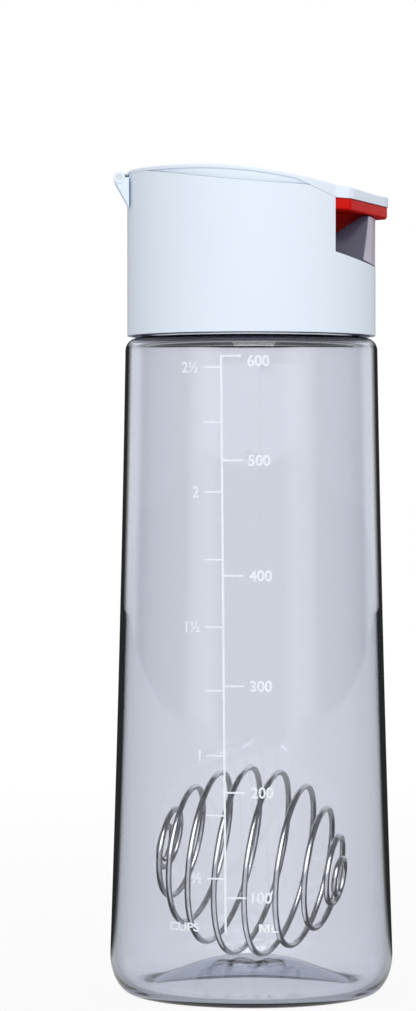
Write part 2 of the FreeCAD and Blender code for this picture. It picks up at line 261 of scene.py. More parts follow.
bottle_outline += [gutter + (punt_bend - gutter).normalized() * gutter_edge]
bottle_outline += quarter(gutter, punt_bend, plateau, curve_steps)
bottle_outline += [level(0, punt_height)]

bottle = turned(bottle_outline)
soften(bottle, neck_edge_round, sharpness=math.radians(50))
add_ridges(bottle, neck_radius - thread_root, thread_radius, thread_start)
bmesh.ops.recalc_face_normals(bottle, faces=bottle.faces)
bottle_piece = add_piece("clear_bottle", bottle, clear_plastic(), "bottle", "clear_plastic",
                         "bottle_body")
bottle_piece.visible_shadow = False


# Measuring scale: white ink printed on the outside of the bottle, a spine with the
# millilitre ticks and numbers on its right and the cup ticks and numbers on its left.
ink_thickness = 0.00004
ink_turn_foot = math.radians(-10.8)
ink_turn_top = math.radians(-14.1)
spine_width = 0.00060
spine_low = 0.0202
spine_cuts = 60
tick_width = 0.00048
tick_cuts = 6
millilitre_tick = 0.0054
cup_tick = 0.0050
number_height = 0.00295
number_stretch = 1.0
number_weight = 0.02
word_weight = 0.03
word_stretch = 1.22
ink_cut = 0.0005
word_height = 0.0023
millilitre_number_start = 0.0069
cup_number_end = -0.0064
word_level = 0.0216
cup_word_end = -0.0072
millilitre_word_start = 0.0087
millilitre_marks = {"600": 0.1707, "500": 0.1434, "400": 0.1133, "300": 0.0845,
                    "200": 0.0568, "100": 0.0295}
spine_high = millilitre_marks["600"] + tick_width / 2
letter_m = [(0, 0), (0, 1), (0.28, 1), (0.5, 0.45), (0.72, 1), (1, 1), (1, 0), (0.79, 0),
            (0.79, 0.66), (0.58, 0.12), (0.42, 0.12), (0.21, 0.66), (0.21, 0)]
letter_l = [(1.17, 0), (1.17, 1), (1.38, 1), (1.38, 0.2), (1.8, 0.2), (1.8, 0)]
cup_marks = [("2½", 0.1678), ("", 0.1534), ("2", 0.1352), ("", 0.1175), ("1½", 0.0999),
             ("", 0.0833), ("1", 0.0664), ("", 0.0508), ("½", 0.0344)]
ink_dark = (0.78, 0.84, 0.90)
ink_light = (0.92, 0.96, 1.0)


def add_bar(bm, left, right, low, high, cuts):
    """Adds a flat bar of ink, cut across so that it can follow the bottle."""
    bar = bmesh.ops.create_cube(bm, size=1)["verts"]
    bmesh.ops.scale(bm, verts=bar, vec=(right - left, high - low, ink_thickness))
    middle = Vector(((left + right) / 2, (low + high) / 2, ink_thickness / 2))
    bmesh.ops.translate(bm, verts=bar, vec=middle)
    reach = max(right - left, high - low)
    edges = {edge for vert in bar for edge in vert.link_edges}
    long_edges = [edge for edge in edges if edge.calc_length() > reach / 2]
    bmesh.ops.subdivide_edges(bm, edges=long_edges, cuts=cuts)


def add_word(bm, word, height, stretch, start, end, middle, weight):
    """Adds flat lettering of a given height, which starts or ends at a place on the scale."""
    curve = bpy.data.curves.new("ink", "FONT")
    curve.body = word
    curve.extrude = ink_thickness / 2
    curve.offset = weight
    lettering = bpy.data.objects.new("ink", curve)
    flat = bpy.data.meshes.new_from_object(lettering)
    tops = [vert.co.y for vert in flat.vertices]
    sides = [vert.co.x for vert in flat.vertices]
    size = height / (max(tops) - min(tops))
    width = size * stretch
    shift = start - min(sides) * width if end is None else end - max(sides) * width
    rise = middle - (max(tops) + min(tops)) / 2 * size
    place = Matrix.Translation((shift, rise, ink_thickness / 2))
    flat.transform(place @ Matrix.Diagonal((width, size, 1, 1)))
    bm.from_mesh(flat)
    bpy.data.objects.remove(lettering)
    bpy.data.curves.remove(curve)
    bpy.data.meshes.remove(flat)


def add_letter(bm, outline, height, stretch, start, middle):
    """Adds a bold letter from its outline, which is drawn for a height of 1."""
    points = [(start + x * height * stretch, middle + (y - 0.5) * height, 0) for x, y in outline]
    face = bm.faces.new([bm.verts.new(point) for point in points])
    grown = bmesh.ops.extrude_face_region(bm, geom=[face])["geom"]
    verts = [item for item in grown if isinstance(item, bmesh.types.BMVert)]
    bmesh.ops.translate(bm, verts=verts, vec=(0, 0, ink_thickness))
    raised = [item for item in grown if isinstance(item, bmesh.types.BMFace)]
    bmesh.ops.triangulate(bm, faces=raised + [face])


def slice_off(bm, point, normal, clear=False):
    """Cuts a bmesh along a plane, and clears what lies beyond it if asked."""
    geometry = bm.verts[:] + bm.edges[:] + bm.faces[:]
    bmesh.ops.bisect_plane(bm, geom=geometry, dist=1e-7, plane_co=point, plane_no=normal,
                           clear_outer=clear)


def wrap_ink(bm):
    """Lays the flat print round the bottle, on its outer face."""
    for vert in bm.verts:
        across, height, lift = vert.co
        radius = body_radius(height) + lift
        way = (height - spine_low) / (spine_high - spine_low)
        angle = ink_turn_foot + (ink_turn_top - ink_turn_foot) * way + across / radius
        vert.co = (radius * math.sin(angle), -radius * math.cos(angle), height)


def white_ink():
    """Matt white screen ink, a little uneven where the mesh laid it."""
    finish, tree, shader = new_finish("white_scale_ink")
    film = mottle(tree, 1500, detail=4)
    tree.links.new(tones(tree, film, ink_dark, ink_light), shader.inputs["Base Color"])
    tree.links.new(spread(tree, film, 0.45, 0.6), shader.inputs["Roughness"])
    roughen(tree, shader, film, 0.2, 0.00002)
    return finish


print_sheet = bmesh.new()
add_bar(print_sheet, -spine_width / 2, spine_width / 2, spine_low, spine_high, spine_cuts)
for number, mark in millilitre_marks.items():
    add_bar(print_sheet, spine_width / 2, millilitre_tick, mark - tick_width / 2,
            mark + tick_width / 2, tick_cuts)
    number_middle = mark if number != "600" else spine_high - number_height / 2
    add_word(print_sheet, number, number_height, number_stretch, millilitre_number_start, None,
             number_middle, number_weight)
for number, mark in cup_marks:
    add_bar(print_sheet, -cup_tick, -spine_width / 2, mark - tick_width / 2,
            mark + tick_width / 2, tick_cuts)
    if number:
        add_word(print_sheet, number, number_height, number_stretch, None, cup_number_end, mark,
                 number_weight)
add_word(print_sheet, "CUPS", word_height, word_stretch, None, cup_word_end, word_level, word_weight)
for letter in (letter_m, letter_l):
    add_letter(print_sheet, letter, word_height, word_stretch, millilitre_word_start, word_level)
print_left = min(vert.co.x for vert in print_sheet.verts)
print_right = max(vert.co.x for vert in print_sheet.verts)
for cut in range(1, int((print_right - print_left) / ink_cut) + 1):
    slice_off(print_sheet, (print_left + cut * ink_cut, 0, 0), (1, 0, 0))
bmesh.ops.remove_doubles(print_sheet, verts=print_sheet.verts, dist=1e-7)
bmesh.ops.recalc_face_normals(print_sheet, faces=print_sheet.faces)
wrap_ink(print_sheet)
print_piece = add_piece("scale_print", print_sheet, white_ink(), "bottle", "white_plastic")
print_piece.data.shade_flat()


# Whisk ball: one length of drawn stainless wire, wound as a ball of open loops that lies
# loose on the bottle's floor. Each end curls into a small ring and is cut blunt.
whisk_radius = 0.0252
wire_radius = 0.0008
whisk_turns = 8
whisk_end_angle = math.radians(15)
whisk_ring_angle = math.radians(10.5)
whisk_axis = Vector((0.944, -0.292, -0.156))
whisk_centre = Vector((0, 0, 0.0355))
wire_points_per_turn = 48
whisk_dark = (0.66, 0.66, 0.67)
whisk_light = (0.80, 0.80, 0.80)


def wire_polar(turns):
    """Angle from the ball's pole after some turns: a small ring at each end, wide loops between."""
    if turns > whisk_turns / 2:
        return math.pi - wire_polar(whisk_turns - turns)
    if turns < 0:
        return whisk_ring_angle + (whisk_end_angle - whisk_ring_angle) * (1 + turns) ** 2
    return whisk_end_angle + (math.pi - 2 * whisk_end_angle) * turns / whisk_turns


def wound_wire():
    """Follows the wire over the ball, from one pole to the other, as a round tube."""
    count = (whisk_turns + 2) * wire_points_per_turn
    lean = Vector((0, 0, 1)).rotation_difference(whisk_axis)
    curve = bpy.data.curves.new("wire", "CURVE")
    curve.dimensions = "3D"
    curve.bevel_depth = wire_radius
    curve.bevel_resolution = 4
    curve.use_fill_caps = True
    spline = curve.splines.new("POLY")
    spline.points.add(count)
    for index, point in enumerate(spline.points):
        turns = index / wire_points_per_turn - 1
        polar = wire_polar(turns)
        turn = -2 * math.pi * turns
        out = Vector((math.sin(polar) * math.cos(turn), math.sin(polar) * math.sin(turn),
                      math.cos(polar)))
        point.co = (*(whisk_centre + lean @ out * whisk_radius), 1)
    route = bpy.data.objects.new("wire", curve)
    tube = bpy.data.meshes.new_from_object(route)
    bm = bmesh.new()
    bm.from_mesh(tube)
    bpy.data.objects.remove(route)
    bpy.data.curves.remove(curve)
    bpy.data.meshes.remove(tube)
    bmesh.ops.remove_doubles(bm, verts=bm.verts, dist=1e-7)
    bmesh.ops.recalc_face_normals(bm, faces=bm.faces)
    return bm


def drawn_steel(name, light, dark, polished, dull):
    """Drawn wire: bright steel with fine die lines and a few duller patches."""
    finish, tree, shader = new_finish(name)
    shader.inputs["Metallic"].default_value = 1
    patches = mottle(tree, 260, detail=3)
    tree.links.new(tones(tree, patches, dark, light), shader.inputs["Base Color"])
    tree.links.new(spread(tree, patches, polished, dull), shader.inputs["Roughness"])
    roughen(tree, shader, mottle(tree, 2600, detail=2), 0.10, 0.00002)
    return finish


whisk_steel = drawn_steel("whisk_steel", whisk_light, whisk_dark, 0.06, 0.14)
add_piece("whisk_wire", wound_wire(), whisk_steel, "whisk", "whisk_steel", "whisk_ball")


# Lid gasket: a flat silicone ring, laid loose on the bottle's rim and pressed there by
# the insert's deck. It keeps its own shape and gets the milky look of silicone.
gasket_dark = (0.66, 0.67, 0.68)
gasket_light = (0.78, 0.79, 0.80)


def milky_silicone():
    """Translucent white silicone, matt, with a dusty bloom."""
    finish, tree, shader = new_finish("milky_silicone")
    shader.inputs["Subsurface Weight"].default_value = 0.15
    shader.inputs["Subsurface Radius"].default_value = (0.002, 0.002, 0.002)
    bloom = mottle(tree, 700, detail=4)
    tree.links.new(tones(tree, bloom, gasket_dark, gasket_light), shader.inputs["Base Color"])
    tree.links.new(spread(tree, bloom, 0.45, 0.65), shader.inputs["Roughness"])
    roughen(tree, shader, bloom, 0.2, 0.00003)
    return finish


def dress(node, finish):
    """Gives a CAD node that stays in view a finish of its own."""
    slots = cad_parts[node].material_slots
    for slot in slots:
        slot.material = finish
    if not slots:
        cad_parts[node].data.materials.append(finish)


dress("lid_gasket", milky_silicone())


# Lid insert: the grey inner lid, moulded in one piece with the screw thread inside its
# skirt, the deck over the bottle's mouth and the pouring spout. It snaps under a rib of
# the shell, and its spout stands flush in the shell's window.
insert_radius = 0.03195
insert_inner_radius = 0.03065
insert_bottom = 0.1776
deck_bottom = 0.1906
deck_top = 0.1922
spout_wall = 0.0013
spout_radius = 0.0334
spout_rear_x = 0.0184
spout_lip_x = 0.0295
spout_rim = 0.20935
spout_lip = 0.20884
spout_rear_rim = 0.20145
spout_lip_half_width = 0.0118
spout_foot_half_width = 0.0158
spout_hole_front_x = 0.0254
spout_hole_half_width = 0.0086
window_front_floor = 0.19525
window_side_floor = 0.19845
window_side_x = 0.0219
window_slope = 0.276
visor_slope = 0.0671
window_gap = 0.0003
thread_depth = 0.0009
insert_edge_round = 0.0002
insert_dark = (0.066, 0.062, 0.106)
insert_light = (0.078, 0.073, 0.120)
# Painted sheen: paler tones for the spout's round front, standing in for light caught by its thin edge.
spout_front_painted_sheen_dark = (0.50, 0.46, 0.56)
spout_front_painted_sheen_light = (0.56, 0.52, 0.62)


def spout_half_width(height):
    """Half the spout's width: its sides lean in from the window's floor to the rim."""
    rise = (spout_rim - height) / (spout_rim - window_front_floor)
    return spout_lip_half_width + (spout_foot_half_width - spout_lip_half_width) * rise


def deck_with_hole():
    """The insert's skirt and deck, turned, with the spout's hole cut through the deck."""
    bm = turned([level(0, deck_bottom), level(insert_inner_radius, deck_bottom),
                 level(insert_inner_radius, insert_bottom), level(insert_radius, insert_bottom),
                 level(insert_radius, deck_top), level(0, deck_top)])
    hole_rear_x = spout_rear_x + spout_wall
    for x in (hole_rear_x, spout_hole_front_x):
        slice_off(bm, (x, 0, 0), (1, 0, 0))
    for y in (-spout_hole_half_width, spout_hole_half_width):
        slice_off(bm, (0, y, 0), (0, 1, 0))
    holes = []
    for face in bm.faces:
        x, y, _ = face.calc_center_median()
        if hole_rear_x < x < spout_hole_front_x and abs(y) < spout_hole_half_width:
            holes.append(face)
    bmesh.ops.delete(bm, geom=holes, context="FACES")
    bmesh.ops.bridge_loops(bm, edges=[edge for edge in bm.edges if edge.is_boundary])
    bmesh.ops.recalc_face_normals(bm, faces=bm.faces)
    return bm


def add_spout(bm):
    """Adds the spout's walls: flat leaning sides, a round front and a rim that rises to a lip."""
    spout = bmesh.new()
    front_steps = 24
    foot_width = spout_half_width(deck_top)
    corner = math.asin(foot_width / spout_radius)
    plan = [Vector((spout_rear_x, foot_width, deck_top)), Vector((spout_rear_x, -foot_width, deck_top))]
    for step in range(front_steps + 1):
        angle = corner * (2 * step / front_steps - 1)
        plan.append(Vector((spout_radius * math.cos(angle), spout_radius * math.sin(angle), deck_top)))
    verts = [spout.verts.new(point) for point in plan]
    edges = [spout.edges.new(pair) for pair in zip(verts, verts[1:] + verts[:1])]
    wall = bmesh.ops.extrude_edge_only(spout, edges=edges)["geom"]
    raised = [item for item in wall if isinstance(item, bmesh.types.BMVert)]
    bmesh.ops.translate(spout, verts=raised, vec=(0, 0, spout_rim - deck_top))
    ledge = window_side_floor + window_gap
    ledge_step = window_gap / 3
    for height in (ledge, ledge - ledge_step):
        slice_off(spout, (window_side_x, 0, height), (window_slope, 0, 1))
    for vert in spout.verts:
        above = vert.co.z - ledge + (vert.co.x - window_side_x) * window_slope
        reach = spout_radius if above > -ledge_step / 2 else insert_radius
        y = vert.co.y * spout_half_width(vert.co.z) / foot_width
        on_rear = vert.co.x < spout_rear_x + spout_wall
        x = vert.co.x if on_rear else math.sqrt(reach ** 2 - y ** 2)
        vert.co = (x, y, vert.co.z)
    rim_slope = Vector((spout_rear_rim - spout_lip, 0, spout_lip_x - spout_rear_x))
    for slope in (rim_slope, (visor_slope, 0, 1)):
        slice_off(spout, (spout_lip_x, 0, spout_lip), slope, clear=True)
    bmesh.ops.recalc_face_normals(spout, faces=spout.faces)
    bmesh.ops.solidify(spout, geom=spout.faces[:], thickness=spout_wall)
    bmesh.ops.recalc_face_normals(spout, faces=spout.faces)
    soften(spout, insert_edge_round)
    scrap = bpy.data.meshes.new("spout")
    spout.to_mesh(scrap)
    spout.free()
    bm.from_mesh(scrap)
    bpy.data.meshes.remove(scrap)


def satin_grey():
    """Moulded grey plastic, satin, with a cool lavender cast, and a painted sheen: paler tones on the
    spout's round front.
    """
    finish, tree, shader = new_finish("satin_grey_plastic_painted_front_sheen")
    grain = mottle(tree, 1800, detail=4)
    cloud = mottle(tree, 60, detail=2)
    place = tree.nodes.new("ShaderNodeTexCoord")
    flat = tree.nodes.new("ShaderNodeVectorMath")
    flat.operation = "MULTIPLY"
    flat.inputs[1].default_value = (1, 1, 0)
    tree.links.new(place.outputs["Object"], flat.inputs[0])
    away = tree.nodes.new("ShaderNodeVectorMath")
    away.operation = "LENGTH"
    tree.links.new(flat.outputs["Vector"], away.inputs[0])
    # Painted sheen: the outer skin of the spout's round front gets the paler tones.
    front = spread(tree, away.outputs["Value"], 0, 1, spout_radius - insert_edge_round, spout_radius)
    colour = tree.nodes.new("ShaderNodeMix")
    colour.data_type = "RGBA"
    tree.links.new(front, colour.inputs["Factor"])
    tree.links.new(tones(tree, cloud, insert_dark, insert_light), colour.inputs["A"])
    tree.links.new(tones(tree, cloud, spout_front_painted_sheen_dark, spout_front_painted_sheen_light), colour.inputs["B"])
    tree.links.new(colour.outputs["Result"], shader.inputs["Base Color"])
    shader.inputs["Specular IOR Level"].default_value = 0.15
    shader.inputs["Sheen Weight"].default_value = 0.6
    shader.inputs["Sheen Roughness"].default_value = 0.3
    shader.inputs["Sheen Tint"].default_value = (0.88, 0.85, 1, 1)
    tree.links.new(spread(tree, grain, 0.16, 0.24), shader.inputs["Roughness"])
    roughen(tree, shader, cloud, 0.05, 0.0003)
    return finish


def even_shading(piece):
    """Keeps a moulding's flat faces flat to the eye, up to their rounded edges."""
    piece.modifiers.new("even_shading", "WEIGHTED_NORMAL")


insert = deck_with_hole()
soften(insert, insert_edge_round)
add_spout(insert)
add_ridges(insert, insert_inner_radius + thread_root, insert_inner_radius - thread_depth,
           thread_start - thread_lead / thread_starts / 2)
bmesh.ops.recalc_face_normals(insert, faces=insert.faces)
insert_piece = add_piece("grey_insert", insert, satin_grey(), "lid", "grey_plastic", "lid_insert")
even_shading(insert_piece)


# Lid shell: the tall white outer wall of the lid, injection moulded. Its top edge follows
# the cover's curve with a shallow finger scoop, its front has the window for the spout,
# and two ears with gussets at the rear hold the hinge pin.
lid_radius = 0.0335
shell_wall = 0.0014
lid_bottom = 0.1771
lid_top = 0.2213
cover_drop = 0.0069
cover_bend = 1.7
cover_edge = 0.0010
cover_seam = 0.00004
visor_radius = 0.0368
visor_half_width = 0.02535
visor_corner_x = 0.0262
visor_tip_half_width = 0.0025
visor_underside = 0.2127
visor_ramp_run = 0.0060
visor_ramp_rise = 0.0026
scoop_depth = 0.0026
scoop_rear_share = -0.84
scoop_front_share = 0.57
hinge_x = -0.03545
hinge_z = 0.2192
barrel_radius = 0.0016
ear_inner = 0.0063
ear_outer = 0.0100
pin_seat_radius = 0.00077
gusset_height = 0.0080
gusset_reach = 0.00128
gusset_drop = 0.00096
gusset_inset = 0.0003
gusset_steps = 10
notch_floor = 0.2191
wall_level = 0.2090
shell_edge_round = 0.00006
lid_white_dark = (0.785, 0.865, 0.965)
lid_white_light = (0.80, 0.88, 0.975)


def cover_top(x):
    """Height of the lid's top along its length: level at the rear, sinking to the visor."""
    way = max(0, (x + lid_radius) / (lid_radius + visor_radius))
    return lid_top - cover_drop * (1 - math.cos(math.pi * way ** cover_bend)) / 2


def cover_under(x):
    """Height of the cover's lower face: a thin plate, thick where it is the visor."""
    slope = visor_ramp_rise / visor_ramp_run if x < window_side_x else visor_slope
    return min(cover_top(x) - cover_edge, visor_underside + (window_side_x - x) * slope)


def shell_top(x):
    """Height of the shell's top edge: a seam below the cover, with the finger scoop."""
    edge = cover_under(x) - cover_seam
    rear = lid_radius * scoop_rear_share
    front = lid_radius * scoop_front_share
    if not rear < x < front:
        return edge
    way = (x - rear) / (front - rear)
    chord = cover_top(rear) + (cover_top(front) - cover_top(rear)) * way - cover_edge
    middle = (rear + front) / 2
    sag = scoop_depth - (cover_top(middle) - (cover_top(rear) + cover_top(front)) / 2)
    return min(edge, chord - 4 * sag * way * (1 - way))


def shell_tube():
    """The shell's wall, from its outer face: topped by the curve and cut for the window."""
    bm = bmesh.new()
    ring = bmesh.ops.create_circle(bm, segments=round_steps, radius=lid_radius)["verts"]
    bmesh.ops.translate(bm, verts=ring, vec=(0, 0, lid_bottom))
    edges = bm.edges[:]
    for height in (window_front_floor, window_side_floor, wall_level, lid_top):
        grown = bmesh.ops.extrude_edge_only(bm, edges=edges)["geom"]
        edges = [item for item in grown if isinstance(item, bmesh.types.BMEdge)]
        for vert in {vert for edge in edges for vert in edge.verts}:
            vert.co.z = height
    for side_y in (-visor_half_width, visor_half_width, -ear_inner, ear_inner):
        slice_off(bm, (0, side_y, 0), (0, 1, 0))
    slice_off(bm, (window_side_x, 0, window_side_floor), (window_slope, 0, 1))
    window = []
    for face in bm.faces:
        x, y, z = face.calc_center_median()
        above = z - window_side_floor + (x - window_side_x) * window_slope
        if x > 0 and abs(y) < visor_half_width and above > 0:
            window.append(face)
    bmesh.ops.delete(bm, geom=window, context="FACES")
    for vert in bm.verts:
        if vert.co.z > lid_top - cover_seam:
            vert.co.z = shell_top(vert.co.x)
            if vert.co.x < 0 and abs(vert.co.y) < ear_inner + cover_seam:
                vert.co.z = min(vert.co.z, notch_floor)
    bmesh.ops.recalc_face_normals(bm, faces=bm.faces)
    bmesh.ops.solidify(bm, geom=bm.faces[:], thickness=shell_wall)
    bmesh.ops.recalc_face_normals(bm, faces=bm.faces)
    return bm


def add_tube(bm, x, z, inner, outer, low_y, high_y, steps=48):
    """Adds a short tube that lies across the lid, such as a hinge barrel."""
    section = [Vector((x + inner, low_y, z)), Vector((x + outer, low_y, z)),
               Vector((x + outer, high_y, z)), Vector((x + inner, high_y, z))]
    verts = [bm.verts.new(point) for point in section]
    edges = [bm.edges.new(pair) for pair in zip(verts, verts[1:] + verts[:1])]
    bmesh.ops.spin(bm, geom=verts + edges, cent=(x, 0, z), axis=(0, 1, 0),
                   angle=2 * math.pi, steps=steps, use_merge=True)


def add_slab(bm, outline, low_y, high_y):
    """Adds a flat slab whose side view is an outline of (x, z) points."""
    face = bm.faces.new([bm.verts.new((x, low_y, z)) for x, z in outline])
    grown = bmesh.ops.extrude_face_region(bm, geom=[face])["geom"]
    verts = [item for item in grown if isinstance(item, bmesh.types.BMVert)]
    bmesh.ops.translate(bm, verts=verts, vec=(0, high_y - low_y, 0))


def white_plastic():
    """Moulded white plastic with a cool cast, a soft gloss and a faint flow mottle."""
    finish, tree, shader = new_finish("soft_gloss_white_plastic")
    flow = mottle(tree, 35, detail=3, stretch=(1, 1, 0.4))
    tree.links.new(tones(tree, flow, lid_white_dark, lid_white_light), shader.inputs["Base Color"])
    shader.inputs["Specular IOR Level"].default_value = 0.2
    tree.links.new(spread(tree, mottle(tree, 400), 0.42, 0.52), shader.inputs["Roughness"])
    roughen(tree, shader, flow, 0.05, 0.0004)
    return finish


lid_white = white_plastic()
shell = shell_tube()
wall_middle = shell_wall / 2 - lid_radius
web_radius = (pin_seat_radius + barrel_radius) / 2
web_turns = [math.pi * step / gusset_steps for step in range(gusset_steps - 1)]
under_pin = [(hinge_x + web_radius * math.cos(turn), hinge_z - web_radius * math.sin(turn))
             for turn in web_turns]
gusset = [(wall_middle, hinge_z), *under_pin, (hinge_x - gusset_reach, hinge_z - gusset_drop),
          (wall_middle, hinge_z - gusset_height)]
for side_sign in (-1, 1):
    low_y, high_y = sorted((side_sign * ear_inner, side_sign * ear_outer))
    add_tube(shell, hinge_x, hinge_z, pin_seat_radius, barrel_radius, low_y, high_y)
    add_slab(shell, gusset, low_y + gusset_inset, high_y - gusset_inset)
bmesh.ops.recalc_face_normals(shell, faces=shell.faces)
soften(shell, shell_edge_round)
shell_piece = add_piece("white_shell", shell, lid_white, "lid", "white_plastic", "lid_shell")
even_shading(shell_piece)


# Hinge pin: a short drawn steel pin, pressed into the shell's two ears. The cover's
# knuckle turns on it.
pin_dark = (0.70, 0.71, 0.73)
pin_light = (0.80, 0.81, 0.83)
dress("hinge_pin", drawn_steel("pin_steel", pin_light, pin_dark, 0.65, 0.75))


# Flip cover: the white moulded top of the lid, a thin plate in a long S-curve that ends
# in a visor over the spout. A skirt stands inside the shell, its upper wall fills the finger
# scoop, and a knuckle on an arm at the rear turns on the hinge pin.
skirt_outer = 0.0319
skirt_inner = 0.0309
skirt_rear_x = -0.0270
skirt_front_x = 0.0170
skirt_bottom = 0.2115
fill_outer = 0.0331
fill_seam = 0.0001
knuckle_half_width = 0.0060
knuckle_bore = 0.00085
arm_low = 0.2194
arm_high = 0.2208
arm_end_x = -0.0310
arm_half_width = 0.0057
cover_edge_round = 0.00045
cover_under_round = 0.00005
visor_corner_round = 0.0016
cover_border = 0.0010
cover_strips = 44


def visor_corners(inset):
    """Two corners on one side of the visor: the end of its flat side and of its blunt tip."""
    return [Vector((visor_corner_x - inset, visor_half_width - inset, 0)),
            Vector((visor_radius - inset, visor_tip_half_width, 0))]


def straight(start, end, steps):
    """Points of a straight edge, after its first."""
    return [start.lerp(end, step / steps) for step in range(1, steps + 1)]


def cover_plan():
    """The cover's outline from above: the round lid, then the visor to its tip."""
    lid_steps = 60
    edge_steps = 8
    lid_corner = math.asin(visor_half_width / lid_radius)
    half = []
    for step in range(lid_steps + 1):
        angle = math.pi + (lid_corner - math.pi) * step / lid_steps
        half.append(Vector((lid_radius * math.cos(angle), lid_radius * math.sin(angle), 0)))
    corner, tip = visor_corners(0)
    before = corner + (half[-1] - corner).normalized() * visor_corner_round
    after = corner + (tip - corner).normalized() * visor_corner_round
    half += straight(half[-1], before, edge_steps)
    half += quarter(before, corner, after, edge_steps)
    half += straight(after, tip, edge_steps)
    return half + [Vector((point.x, -point.y, 0)) for point in half[:0:-1]]


def cover_plate():
    """The S-curved plate with its visor: a border that takes the round edge, and strips across."""
    bm = bmesh.new()
    plan = bm.faces.new([bm.verts.new(point) for point in cover_plan()])
    bmesh.ops.inset_region(bm, faces=[plan], thickness=cover_border, use_even_offset=True)
    inner = [plan]
    places = [-lid_radius + (lid_radius + visor_radius) * strip / cover_strips
              for strip in range(1, cover_strips)]
    for x in places + [window_side_x]:
        geometry = inner + list({edge for face in inner for edge in face.edges})
        geometry += list({vert for face in inner for vert in face.verts})
        cut = bmesh.ops.bisect_plane(bm, geom=geometry, dist=1e-7, plane_co=(x, 0, 0),
                                     plane_no=(1, 0, 0))["geom"]
        inner = [item for item in cut if isinstance(item, bmesh.types.BMFace)]
    grown = bmesh.ops.extrude_face_region(bm, geom=bm.faces[:])["geom"]
    lower = {item for item in grown if isinstance(item, bmesh.types.BMVert)}
    for vert in bm.verts:
        vert.co.z = cover_under(vert.co.x) if vert in lower else cover_top(vert.co.x)
    bmesh.ops.recalc_face_normals(bm, faces=bm.faces)
    soften(bm, cover_edge_round, segments=4, spare=lower)
    soften(bm, cover_under_round)
    return bm


def add_arcs(bm, outer, inner, front_x, rear_x, low):
    """Adds an arc of wall at each side of the cover, from a lower edge up into the plate."""
    steps = 40
    start = math.acos(front_x / outer)
    sweep = math.acos(rear_x / outer) - start
    plate = set(bm.verts)
    for side_sign in (-1, 1):
        section = [level(outer, 0), level(outer, lid_top), level(inner, lid_top), level(inner, 0)]
        face = bm.faces.new([bm.verts.new(point) for point in section])
        place = Matrix.Rotation(side_sign * start, 3, "Z")
        bmesh.ops.rotate(bm, verts=face.verts, cent=(0, 0, 0), matrix=place)
        bmesh.ops.spin(bm, geom=[face], cent=(0, 0, 0), axis=(0, 0, 1), angle=side_sign * sweep,
                       steps=steps)
    for vert in set(bm.verts) - plate:
        x = outer * vert.co.x / vert.co.xy.length
        vert.co.z = cover_top(x) - cover_edge / 2 if vert.co.z > lid_top / 2 else low(x)


cover = cover_plate()
add_arcs(cover, skirt_outer, skirt_inner, skirt_front_x, skirt_rear_x, lambda x: skirt_bottom)
add_arcs(cover, fill_outer, skirt_outer, lid_radius * scoop_front_share, lid_radius * scoop_rear_share,
         lambda x: shell_top(x) + fill_seam)
add_tube(cover, hinge_x, hinge_z, knuckle_bore, barrel_radius, -knuckle_half_width, knuckle_half_width)
arm = [(hinge_x + knuckle_bore / 2, arm_low + knuckle_bore), (arm_end_x, arm_low),
       (arm_end_x, arm_high - cover_edge), (hinge_x, arm_high)]
add_slab(cover, arm, -arm_half_width, arm_half_width)
bmesh.ops.recalc_face_normals(cover, faces=cover.faces)
cover_piece = add_piece("flip_top", cover, lid_white, "cover", "white_plastic", "flip_cover")
even_shading(cover_piece)


# Spout seal: a soft red silicone band under the visor, pressed onto two pegs, with a
# plug below it that closes the spout.
seal_inset = 0.0003
seal_rear_x = 0.0175
seal_top = 0.21265
seal_bottom = 0.20965
plug_rear_x = 0.0204
plug_front_x = 0.0301
plug_taper = 0.0007
plug_half_width = 0.0092
plug_bottom = 0.20405
seal_edge_round = 0.0005
seal_dark = (0.56, 0.002, 0.0)
seal_light = (0.62, 0.004, 0.001)


def seal_band():
    """The band: the visor's outline, cut off square inside the lid and sinking to the tip."""
    bm = bmesh.new()
    corner, tip = visor_corners(seal_inset)
    half = [(seal_rear_x, corner.y), (corner.x, corner.y), (tip.x, tip.y)]
    plan = half + [(x, -y) for x, y in reversed(half)]
    face = bm.faces.new([bm.verts.new((x, y, seal_bottom)) for x, y in plan])
    grown = bmesh.ops.extrude_face_region(bm, geom=[face])["geom"]
    verts = [item for item in grown if isinstance(item, bmesh.types.BMVert)]
    bmesh.ops.translate(bm, verts=verts, vec=(0, 0, seal_top - seal_bottom))
    slice_off(bm, (window_side_x, 0, 0), (1, 0, 0))
    for vert in bm.verts:
        vert.co.z -= visor_slope * max(0, vert.co.x - window_side_x)
    return bm


def red_silicone():
    """Satin red silicone: a deep even red with a soft bloom and a fine moulded skin."""
    finish, tree, shader = new_finish("satin_red_silicone")
    bloom = mottle(tree, 120, detail=4)
    skin = mottle(tree, 2400, detail=3)
    tree.links.new(tones(tree, bloom, seal_dark, seal_light), shader.inputs["Base Color"])
    shader.inputs["Specular IOR Level"].default_value = 0.1
    tree.links.new(spread(tree, skin, 0.36, 0.48), shader.inputs["Roughness"])
    roughen(tree, shader, skin, 0.05, 0.00002)
    return finish


seal = seal_band()
plug = [(plug_rear_x, seal_bottom + seal_inset), (plug_front_x, seal_bottom + seal_inset),
        (plug_front_x - plug_taper, plug_bottom), (plug_rear_x, plug_bottom)]
add_slab(seal, plug, -plug_half_width, plug_half_width)
bmesh.ops.recalc_face_normals(seal, faces=seal.faces)
soften(seal, seal_edge_round, segments=3)
seal_piece = add_piece("red_seal", seal, red_silicone(), "cover", "red_silicone", "spout_seal")
even_shading(seal_piece)
